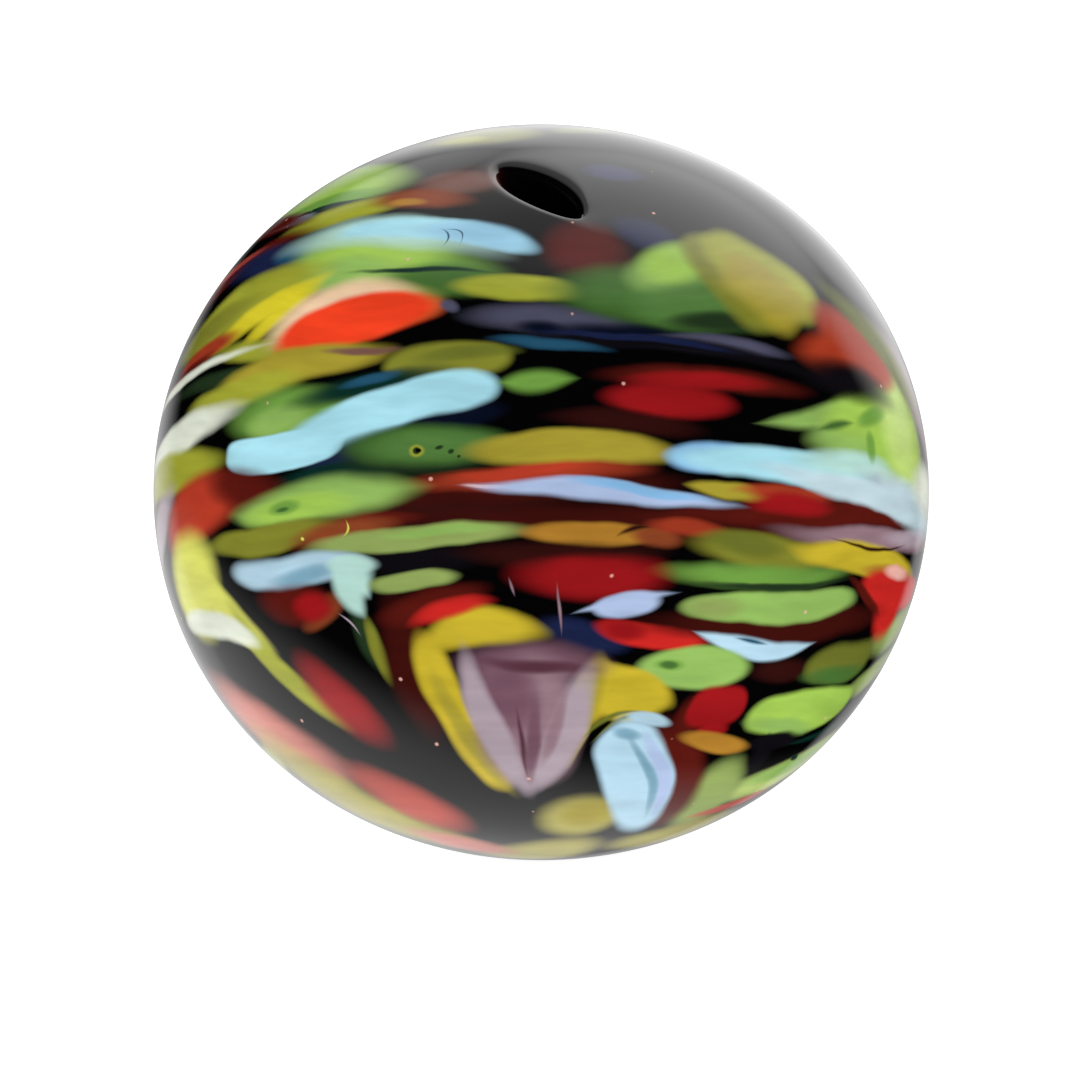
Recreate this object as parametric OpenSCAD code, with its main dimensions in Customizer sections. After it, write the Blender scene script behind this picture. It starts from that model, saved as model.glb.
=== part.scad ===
// Torch-worked glass bead, black with streaks of coloured glass melted in flush.
// It stands on its lower mouth: Z = 0 is the plane of the lower rim, Z runs up the thread hole.
// Lengths are in millimetres and angles in degrees.

/* [Bead] */
// Greatest width across the bead, square to the thread hole
bead_d = 24; // [20:0.5:30]
// Height of the glass from pole to pole, as if there were no thread hole
bead_h = 22.1; // [21.2:0.1:23]
// Radius of the rounded side, from the equator to the shoulders
side_r = 10.6; // [10:0.1:10.8]

/* [Thread hole] */
// Bore left by the mandrel
bore_d = 1.6; // [1:0.1:2.4]
// Width of the upper mouth, across its short way
mouth_w = 1.7; // [1.6:0.1:2.6]
// How far the two ends of the upper mouth are drawn apart
mouth_draw = 1.8; // [1:0.1:3]
// Depth of the drawn mouth, down to the round bore
mouth_deep = 2.4; // [1.5:0.1:4]
// Direction in which the upper mouth is drawn, turned from the X axis
mouth_turn = -48; // [-60:1:0]
// Rounding of the upper lip
lip_r = 0.45; // [0.3:0.05:0.6]
// Rounding of the lower mouth
foot_lip_r = 0.5; // [0.3:0.05:0.7]

/* [Colour] */
// How far the melted-in chips stand proud of the black ground
chip_proud = 0.05; // [0.02:0.01:0.1]
// How deep a chip bites into the black ground
chip_bite = 0.8; // [0.5:0.1:1.5]
// Tilt of the face on which the chips are placed, up from the side of the bead
face_tilt = 34; // [20:1:50]
// How many rows of streaks cross the back
back_rows = 7; // [5:1:10]
// How many streaks there are in a row
back_row_streaks = 3; // [2:1:4]
// Spare glass that the streaks leave round the lower mouth
foot_clear = 3.2; // [2.5:0.1:5]

/* [Hidden] */

half_d = bead_d / 2;
half_h = bead_h / 2;
// The dome at each pole is the ball that runs smoothly into the rounded side.
dome_r = (half_d * half_d - bead_d * side_r + half_h * half_h) / (2 * (half_h - side_r));
dome_drop = dome_r - half_h;
side_out = half_d - side_r;
// Where the dome runs into the side, measured out from the thread hole
shoulder = side_out * dome_r / (dome_r - side_r);

// Glass colours
SKY = [0.62, 0.84, 0.92];
PALE = [0.84, 0.88, 0.84];
LILAC = [0.66, 0.71, 0.86];
LIME = [0.63, 0.76, 0.34];
GREEN = [0.32, 0.47, 0.20];
OLIVE = [0.50, 0.51, 0.18];
YELLOW = [0.77, 0.70, 0.20];
OCHRE = [0.64, 0.55, 0.20];
ORANGE = [0.93, 0.27, 0.13];
RED = [0.64, 0.10, 0.11];
RUST = [0.60, 0.27, 0.18];
MAROON = [0.30, 0.06, 0.05];
MAUVE = [0.60, 0.50, 0.55];
INDIGO = [0.25, 0.26, 0.42];

// Each chip runs from one place to another on the face, given as degrees round and degrees up,
// and has its width and how blunt its ends are, from 0 for a point to 1 for a full round.
CHIPS = [
    // Round the upper mouth and down the upper left
    [LIME, [-82, 44], [-48, 59], 2.0, 0],
    [RUST, [-42, 53], [-17, 53.5], 1.3, 0],
    [SKY, [-56, 42], [-2, 42], 1.2, 0.3],
    [LIME, [-52, 37], [-20, 36.5], 1.2, 0],
    [OLIVE, [-17, 33], [5, 31.8], 1.0, 0.4],
    [INDIGO, [-70, 36.5], [-55, 37.5], 0.8, 0],
    [OLIVE, [-73, 26], [-52, 34], 1.1, 0],
    [YELLOW, [-64, 22.5], [-50, 30], 0.8, 0],
    [ORANGE, [-49, 22], [-18.5, 29], 1.8, 0.4],
    [OCHRE, [-54, 16.5], [-29, 20], 1.0, 0],
    [OLIVE, [-26, 19.7], [-5, 21], 1.1, 0.4],
    [SKY, [-51.5, 4.7], [-6.5, 16.7], 1.35, 0.4],
    [PALE, [-82, 4.5], [-55, 12.5], 0.85, 0],
    [OLIVE, [-80, 1.2], [-57, 4], 1.0, 0],
    [MAROON, [3, 41], [16, 38.8], 1.4, 0],
    // The upper right
    [LIME, [17, 35.6], [31, 37.6], 1.2, 0],
    [GREEN, [6, 31.8], [31, 28.8], 1.2, 0],
    [OLIVE, [36, 41], [42, 27], 2.2, 0.4],
    [RUST, [62, 26], [52, 19.5], 1.7, 0],
    [INDIGO, [-8, 26.6], [38, 22.3], 0.7, 0],
    [MAROON, [15, 17.9], [36, 16.9], 0.6, 0],
    [RED, [10, 13.6], [30.5, 12.9], 1.15, 0.5],
    // The middle bands, from left to right
    [GREEN, [-27, 6], [-10, 7.6], 1.15, 0],
    [GREEN, [-6, 17], [5, 17.2], 0.7, 0],
    [OCHRE, [-9, 6.5], [18.5, 6.4], 1.1, 0.5],
    [SKY, [20, 5], [74, -2.6], 0.95, 0.3],
    [LIME, [41, 9.6], [76, 6.6], 1.6, 0],
    [LILAC, [-9, 0.5], [28, -1.4], 0.65, 0],
    [RED, [32, -2], [51, -3], 0.8, 0],
    [RUST, [-70, -5], [-50, 0], 1.1, 0.3],
    [LIME, [-49, -3], [-21, 0.5], 1.05, 0],
    [MAROON, [-28, -3.2], [30, -3.8], 0.6, 0],
    [OLIVE, [-56, -8.4], [-37, -6.3], 0.7, 0],
    [LIME, [-34, -7.8], [-4, -6.3], 0.8, 0.3],
    [OCHRE, [-1, -6.4], [19, -6.7], 0.65, 0.2],
    [OLIVE, [22.5, -7.3], [40, -8], 0.95, 0.3],
    [MAUVE, [44, -5.9], [74, -5.8], 0.5, 0],
    [YELLOW, [43, -8.6], [67, -10.5], 0.9, 0.3],
    [GREEN, [21, -11.9], [47, -12.3], 0.55, 0],
    [SKY, [-52, -12.1], [-32, -11], 0.85, 0.4],
    [SKY, [-31, -12.5], [-26.5, -17], 0.75, 0],
    [RED, [-42, -16.2], [-34, -16.7], 0.95, 0.4],
    [LIME, [-23.5, -13.7], [-13, -12.8], 0.6, 0],
    [RED, [-1.5, -11.9], [17, -12.4], 1.05, 0],
    // The lower right
    [LILAC, [7, -17.2], [18.5, -15.4], 0.75, 0.2],
    [LIME, [22, -16.3], [53, -16.3], 0.95, 0.4],
    [RED, [57, -14], [74, -17], 1.3, 0.3],
    [MAROON, [26, -19.8], [56, -19.3], 0.4, 0],
    [INDIGO, [2.5, -20], [10, -22.5], 0.65, 0],
    [RED, [11, -20], [24.5, -21.9], 0.8, 0.2],
    [PALE, [25.5, -22.2], [46, -23], 0.65, 0],
    [LIME, [16, -26.2], [34.5, -26], 1.3, 0.4],
    [OLIVE, [48, -26], [65, -23.8], 1.2, 0.5],
    [RED, [26, -32.2], [36.5, -31.7], 1.25, 0.6],
    [LIME, [39.5, -33.2], [68, -32.6], 1.45, 0.4],
    [OCHRE, [26, -38.3], [41, -40.2], 0.75, 0.2],
    [SKY, [15.5, -38.5], [25, -60], 1.8, 0.6],
    [MAROON, [31.5, -44], [37, -58], 0.85, 0],
    [LIME, [55, -48], [74, -42], 1.1, 0],
    // The lower middle: the mauve wedge in its yellow fork
    [YELLOW, [-18, -21.5], [1, -20.6], 1.0, 0.3],
    [YELLOW, [-18.8, -25], [-8, -48.5], 0.95, 0.4],
    [MAUVE, [-12.6, -27], [-5.3, -48], 0.95, 0],
    [MAUVE, [-9, -25.6], [7, -26.2], 0.85, 0],
    [MAUVE, [7, -29], [-2.6, -48], 1.0, 0],
    [YELLOW, [10, -27.3], [20.5, -31.4], 1.15, 0.2],
    [OLIVE, [-26.5, -18.5], [-25, -27], 0.7, 0],
    [MAROON, [-21.5, -18], [-20.5, -33], 0.9, 0],
    [OCHRE, [-10, -63], [16, -57.5], 2.2, 0.4],
    // The lower left
    [YELLOW, [-70, -7.5], [-63, -17.5], 2.0, 0.4],
    [PALE, [-74, -22], [-53, -22], 0.85, 0.2],
    [YELLOW, [-50, -23], [-37.5, -35.5], 0.75, 0],
    [RED, [-39, -27.5], [-28, -38], 1.1, 0],
    [RUST, [-71, -30], [-51, -42.5], 1.7, 0],
    [OLIVE, [-54, -46.5], [-36, -60.5], 1.3, 0],
    [RUST, [-37, -47.5], [-23, -57], 1.1, 0],
];
// Colours, widths and lengths that the streaks across the back take in turn
BACK_GLASS = [LIME, RED, SKY, OCHRE, GREEN, RUST, LILAC, YELLOW, MAROON, OLIVE];
BACK_WIDE = [1.1, 0.8, 1.4, 0.9];
BACK_SPAN = [44, 30, 36, 24, 40];
BACK_LEAN = [4, -5, 7, 0, -3];
// The back begins this far round, and its outer rows lie this far up and down.
back_side = 92;
back_top = 66;
// Each row is set over by this share of a place, one way and then the other.
back_shift = 0.15;
back_blunt = 0.3;

function toward(place) = [cos(place[1]) * sin(place[0]), -cos(place[1]) * cos(place[0]), sin(place[1])];
function unit(v) = v / norm(v);
function lip_height(lip, mouth) = sqrt(pow(dome_r - lip, 2) - pow(mouth / 2 + lip, 2));
function rim_height(lip, mouth) = lip_height(lip, mouth) + lip;
rest = rim_height(foot_lip_r, bore_d) - dome_drop;

// Half the bead's section, grown all round by so much
module bead_section(grown = 0) {
    reach = half_d + grown;
    wide = shoulder * (dome_r + grown) / dome_r;
    intersection() {
        translate([0, -reach]) square([reach, 2 * reach]);
        union() {
            translate([side_out, 0]) circle(r = side_r + grown, $fn = 180);
            intersection() {
                translate([0, -dome_drop]) circle(r = dome_r + grown, $fn = 180);
                translate([0, dome_drop]) circle(r = dome_r + grown, $fn = 180);
                translate([-wide, -reach]) square([2 * wide, 2 * reach]);
            }
        }
    }
}

// A chip drawn out in the flame: two arcs that meet in points, or that end in rounds
module chip_outline(long, wide, blunt) {
    cut = wide * blunt / 2;
    arc = (long * long + wide * wide) / (4 * wide);
    if (blunt > 0) {
        translate([-(long / 2 - cut), 0]) circle(r = cut, $fn = 32);
        translate([long / 2 - cut, 0]) circle(r = cut, $fn = 32);
    }
    intersection() {
        translate([0, arc - wide / 2]) circle(r = arc, $fn = 180);
        translate([0, wide / 2 - arc]) circle(r = arc, $fn = 180);
    }
}

// A chip melted in: it follows the bead's own curve and stands a hair proud.
module chip(glass, from, to, wide, blunt) {
    a = toward(from);
    b = toward(to);
    out = unit(a + b);
    along = unit(b - a);
    across = cross(out, along);
    long = half_d * norm(b - a);
    deep = half_h * norm(a + b) / 2 - chip_bite;
    color(glass) intersection() {
        rotate_extrude($fn = 180) bead_section(chip_proud);
        rotate([-face_tilt, 0, 0]) multmatrix([
            [along[0], across[0], out[0], 0],
            [along[1], across[1], out[1], 0],
            [along[2], across[2], out[2], 0],
            [0, 0, 0, 1]
        ]) translate([0, 0, deep]) linear_extrude(half_d + 1 - deep) chip_outline(long, wide, blunt);
    }
}

module face_chips() {
    for (row = CHIPS) chip(row[0], row[1], row[2], row[3], row[4]);
}

function pick(list, n) = list[n % len(list)];

// Rows of streaks cross the back, each row set over against the next, clear of the lower mouth.
module back_chips() {
    foot = toward([180, face_tilt - 90]);
    step = (360 - 2 * back_side) / back_row_streaks;
    for (row = [0:back_rows - 1], place = [0:back_row_streaks - 1]) {
        n = row * back_row_streaks + place;
        up = back_top * (1 - 2 * row / (back_rows - 1));
        round = back_side + step * (place + 0.5 + (row % 2 == 0 ? -back_shift : back_shift));
        half = pick(BACK_SPAN, n) / 2;
        lean = pick(BACK_LEAN, n) / 2;
        wide = pick(BACK_WIDE, n);
        gap = half_d * norm(toward([round, up]) - foot) - wide / 2;
        if (gap > foot_clear + half_d * sin(half) * cos(up))
            chip(pick(BACK_GLASS, n), [round - half, up - lean], [round + half, up + lean], wide, back_blunt);
    }
}

// Half the section of a mouth with a rounded lip, measured from the centre of the dome
module lip_section(lip, mouth, deep) {
    middle = mouth / 2 + lip;
    difference() {
        translate([0, dome_r - deep]) square([middle, deep + 1]);
        translate([middle, lip_height(lip, mouth)]) circle(r = lip, $fn = 60);
        translate([mouth / 2, 0]) square([lip + 1, lip_height(lip, mouth)]);
    }
}

module mouth_end(lip, mouth, deep) {
    rotate_extrude($fn = 60) lip_section(lip, mouth, deep);
}

// The upper mouth is drawn out along the dome, so its lip keeps its rounding all the way.
module drawn_mouth() {
    spread = 2 * asin(mouth_draw / 2 / dome_r);
    translate([0, 0, -dome_drop]) rotate([0, 0, mouth_turn]) {
        for (side = [-1, 1])
            rotate([0, side * spread / 2, 0]) mouth_end(lip_r, mouth_w, mouth_deep);
        rotate([90, 0, 0]) rotate([0, 0, 90 - spread / 2]) rotate_extrude(angle = spread, $fn = 180)
            for (way = [0, 1]) mirror([0, way]) rotate([0, 0, -90]) mirror([1, 0])
                lip_section(lip_r, mouth_w, mouth_deep);
    }
}

module thread_hole() {
    translate([0, 0, -half_d]) cylinder(d = bore_d, h = bead_d, $fn = 60);
    mirror([0, 0, 1]) translate([0, 0, -dome_drop]) mouth_end(foot_lip_r, bore_d, mouth_deep);
    drawn_mouth();
}

module bead() {
    translate([0, 0, rest]) difference() {
        union() {
            color("black") rotate_extrude($fn = 180) bead_section();
            face_chips();
            back_chips();
        }
        thread_hole();
    }
}

bead();
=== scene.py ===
from math import asin, cos, pi, radians, sin, sqrt

import bpy
from mathutils import Matrix, Vector


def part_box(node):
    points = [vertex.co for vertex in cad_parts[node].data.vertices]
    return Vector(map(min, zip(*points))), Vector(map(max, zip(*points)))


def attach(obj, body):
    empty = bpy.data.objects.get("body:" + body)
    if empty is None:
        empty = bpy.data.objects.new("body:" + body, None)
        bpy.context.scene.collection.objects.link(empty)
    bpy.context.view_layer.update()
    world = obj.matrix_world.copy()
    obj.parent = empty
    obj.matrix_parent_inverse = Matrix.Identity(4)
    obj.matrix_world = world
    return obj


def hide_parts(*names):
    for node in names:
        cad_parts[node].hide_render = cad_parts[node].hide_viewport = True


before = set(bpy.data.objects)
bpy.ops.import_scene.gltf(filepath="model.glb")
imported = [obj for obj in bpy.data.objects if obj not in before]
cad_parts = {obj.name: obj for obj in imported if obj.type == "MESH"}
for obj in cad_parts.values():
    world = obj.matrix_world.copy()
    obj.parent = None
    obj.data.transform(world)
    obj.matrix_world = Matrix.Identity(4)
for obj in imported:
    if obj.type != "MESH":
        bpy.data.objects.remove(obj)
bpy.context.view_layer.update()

MM = 0.001

# The ball
# Black glass wound on a thin rod in the flame and turned until it rounds itself, a little
# flatter along the rod than across it. The rod is drawn out when it is cold and leaves the
# thread hole: its lower mouth is round, and its upper mouth was pulled long and pointed.
box_low, box_high = (Vector(corner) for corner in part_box("bead"))
MIDDLE = (box_low + box_high) / 2
HALF_WIDE = (box_high.x - box_low.x) / 2
POLE = 11.05 * MM
SIDE_R = 10.6 * MM
BORE_R = 0.8 * MM
FOOT_LIP = 0.5 * MM
# The upper mouth is an oval, pinched to a point at both ends and a little nearer to the face
# than the bore. Its lip is round, and the glass round it blends into the dome farther out.
MOUTH_LONG = 1.75 * MM
MOUTH_WIDE = 0.68 * MM
MOUTH_PINCH = 0.3
MOUTH_NEAR = 0.1 * MM
MOUTH_LIP = 0.36 * MM
MOUTH_BLEND = 4.5 * MM
MOUTH_DEEP = 2.4 * MM
MOUTH_TURN = radians(-51)
# On its far side the lip falls away gently: how far out it begins, how deep it drops and how
# softly it starts. On its near side it is pushed up a little.
FAR_SIDE = radians(125)
FAR_OUT = 1.0 * MM
FAR_DROP = 0.26 * MM
FAR_EASE = 0.4
NEAR_RISE = 0.12 * MM
# How finely each stretch of the glass is stepped
ROUND_STEPS = 288
BORE_STEPS = 8
THROAT_STEPS = 10
LIP_STEPS = 12
BLEND_STEPS = 36
DOME_STEPS = 8
SIDE_STEPS = 96
UNDER_STEPS = 40
FOOT_STEPS = 10

side_out = HALF_WIDE - SIDE_R
dome_r = (HALF_WIDE ** 2 - 2 * HALF_WIDE * SIDE_R + POLE ** 2) / (2 * (POLE - SIDE_R))
dome_drop = dome_r - POLE
shoulder = side_out * dome_r / (dome_r - SIDE_R)


def glass_height(out):
    """Height of the glass above the bead's middle, this far out from the thread hole."""
    if out < shoulder:
        return sqrt(dome_r ** 2 - out ** 2) - dome_drop
    return sqrt(max(SIDE_R ** 2 - (out - side_out) ** 2, 0))


def smooth(low, high, value):
    share = min(max((value - low) / (high - low), 0), 1)
    return share * share * (3 - 2 * share)


def mouth_place(turn, away):
    """Plan place beside the upper mouth: on its oval when away is 0, on a circle far out."""
    across = MOUTH_WIDE * sin(turn) * abs(sin(turn)) ** MOUTH_PINCH
    oval = Vector((MOUTH_LONG * cos(turn), across - MOUTH_NEAR))
    square_on = Vector((MOUTH_WIDE * cos(turn), MOUTH_LONG * sin(turn))).normalized()
    ring = Vector((cos(turn), sin(turn))) * (away + (MOUTH_LONG + MOUTH_WIDE) / 2)
    return (oval + square_on * away).lerp(ring, smooth(0, MOUTH_BLEND, away))


def bead_section(turn):
    """The glass at one turn round the hole: up the bore, over the lip, down the side and back."""
    foot = BORE_R + FOOT_LIP
    foot_low = -glass_height(foot)
    points = []
    ray = Vector((cos(turn), sin(turn)))
    bore_low = foot_low + FOOT_LIP
    bore_high = glass_height(0) - MOUTH_DEEP
    for step in range(BORE_STEPS):
        flat = ray * BORE_R
        points.append((flat.x, flat.y, bore_low + (bore_high - bore_low) * step / BORE_STEPS))
    far = max(cos(turn - FAR_SIDE), 0) ** 2
    lip_out = MOUTH_LIP + (FAR_OUT - MOUTH_LIP) * far
    lip_drop = MOUTH_LIP + (FAR_DROP - MOUTH_LIP) * far
    for step in range(THROAT_STEPS):
        share = step / THROAT_STEPS
        flat = (ray * BORE_R).lerp(mouth_place(turn, 0), smooth(0, 1, share))
        points.append((flat.x, flat.y, bore_high + (MOUTH_DEEP - lip_drop) * share))
    rise = NEAR_RISE * max(-cos(turn - FAR_SIDE), 0) ** 2
    for step in range(LIP_STEPS):
        lean = step / LIP_STEPS * pi / 2
        flat = mouth_place(turn, lip_out * (1 - cos(lean)))
        fall = lip_drop * (1 - sin(lean)) ** (1 + FAR_EASE * far)
        points.append((flat.x, flat.y, glass_height(flat.length) + rise - fall))
    for step in range(BLEND_STEPS):
        away = lip_out + (MOUTH_BLEND - lip_out) * step / BLEND_STEPS
        flat = mouth_place(turn, away)
        swell = rise * (1 - smooth(lip_out, MOUTH_BLEND / 2, away))
        points.append((flat.x, flat.y, glass_height(flat.length) + swell))
    rim = MOUTH_BLEND + (MOUTH_LONG + MOUTH_WIDE) / 2
    first = asin(rim / dome_r)
    join = asin(shoulder / dome_r)
    for step in range(DOME_STEPS):
        lean = first + (join - first) * step / DOME_STEPS
        out = dome_r * sin(lean)
        points.append((ray.x * out, ray.y * out, dome_r * cos(lean) - dome_drop))
    for step in range(SIDE_STEPS):
        lean = join + (pi - 2 * join) * step / SIDE_STEPS
        out = side_out + SIDE_R * sin(lean)
        points.append((ray.x * out, ray.y * out, SIDE_R * cos(lean)))
    last = asin(foot / dome_r)
    for step in range(UNDER_STEPS):
        lean = join + (last - join) * step / UNDER_STEPS
        out = dome_r * sin(lean)
        points.append((ray.x * out, ray.y * out, dome_drop - dome_r * cos(lean)))
    for step in range(FOOT_STEPS):
        lean = pi / 2 * (1 - step / FOOT_STEPS)
        out = BORE_R + FOOT_LIP * (1 - cos(lean))
        points.append((ray.x * out, ray.y * out, -glass_height(out) + FOOT_LIP * (1 - sin(lean))))
    return points


def bead_mesh():
    corners = []
    for turn in range(ROUND_STEPS):
        section = bead_section(2 * pi * turn / ROUND_STEPS)
        corners.extend(section)
    rows = len(section)
    faces = []
    for turn in range(ROUND_STEPS):
        after = (turn + 1) % ROUND_STEPS
        for row in range(rows):
            above = (row + 1) % rows
            near, next_one = turn * rows, after * rows
            faces.append((near + row, next_one + row, next_one + above, near + above))
    spin = Matrix.Rotation(MOUTH_TURN, 4, "Z")
    mesh = bpy.data.meshes.new("bead_glass")
    mesh.from_pydata([spin @ Vector(corner) + MIDDLE for corner in corners], [], faces)
    mesh.polygons.foreach_set("use_smooth", [True] * len(mesh.polygons))
    mesh.update()
    return mesh


bead = bpy.data.objects.new("bead_glass", bead_mesh())
bpy.context.collection.objects.link(bead)
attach(bead, "root")
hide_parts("bead")

# The coloured chips
# Bits and drawn rods of coloured glass, picked up on the hot black ball and melted in until
# they lie flush. Each is drawn out along its length, fades where it thins out over the black,
# and is placed on the bead's face by degrees round and degrees up from its middle.
FACE_TILT = radians(34)

# Glass colours, as red, green and blue from 0 to 255
GLASS = {
    "black": (3, 3, 4), "sky": (168, 222, 236), "blue": (132, 182, 224), "ice": (176, 210, 228),
    "pale": (190, 212, 220), "mint": (178, 216, 206), "lilac": (170, 188, 222), "white": (224, 230, 212),
    "lime": (160, 198, 84), "spring": (142, 180, 92), "sage": (140, 160, 88),
    "leaf": (112, 158, 68), "green": (68, 106, 48), "forest": (34, 52, 30), "pine": (10, 44, 36),
    "olive": (126, 128, 44), "moss": (104, 110, 40), "khaki": (160, 164, 52), "yellow": (216, 202, 46),
    "mustard": (194, 172, 46), "straw": (214, 216, 96), "ochre": (164, 150, 50), "gold": (172, 122, 44),
    "flame": (240, 66, 34), "red": (150, 22, 26), "scarlet": (196, 38, 34), "rust": (158, 56, 34),
    "brick": (178, 58, 38), "salmon": (184, 78, 66), "maroon": (86, 22, 16), "wine": (60, 16, 12),
    "umber": (46, 15, 13), "mauve": (142, 114, 124), "petal": (168, 152, 162), "plum": (112, 78, 92),
    "aubergine": (84, 48, 60), "indigo": (44, 46, 88), "navy": (26, 34, 68), "teal": (34, 78, 104),
    "slate": (80, 80, 102), "rose": (232, 176, 164), "soot": (14, 12, 16),
    "ink": (10, 16, 34), "frost": (168, 198, 214), "dun": (172, 164, 84), "sienna": (136, 66, 36),
    "ember": (166, 58, 34), "blush": (238, 202, 166), "tan": (118, 82, 72), "fern": (82, 122, 60),
    "azure": (152, 202, 230), "pear": (184, 204, 116), "steel": (118, 158, 178), "blossom": (206, 128, 116),
    "melon": (190, 218, 116),
}
# How a chip's edge runs: how blunt its ends are, and how round its sides are
LENS = (1.0, 1.0)
LEAF = (1.0, 1.4)
OVAL = (1.0, 2.0)
BLUNT = (2.0, 2.0)
BLOCK = (3.0, 3.0)

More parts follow.
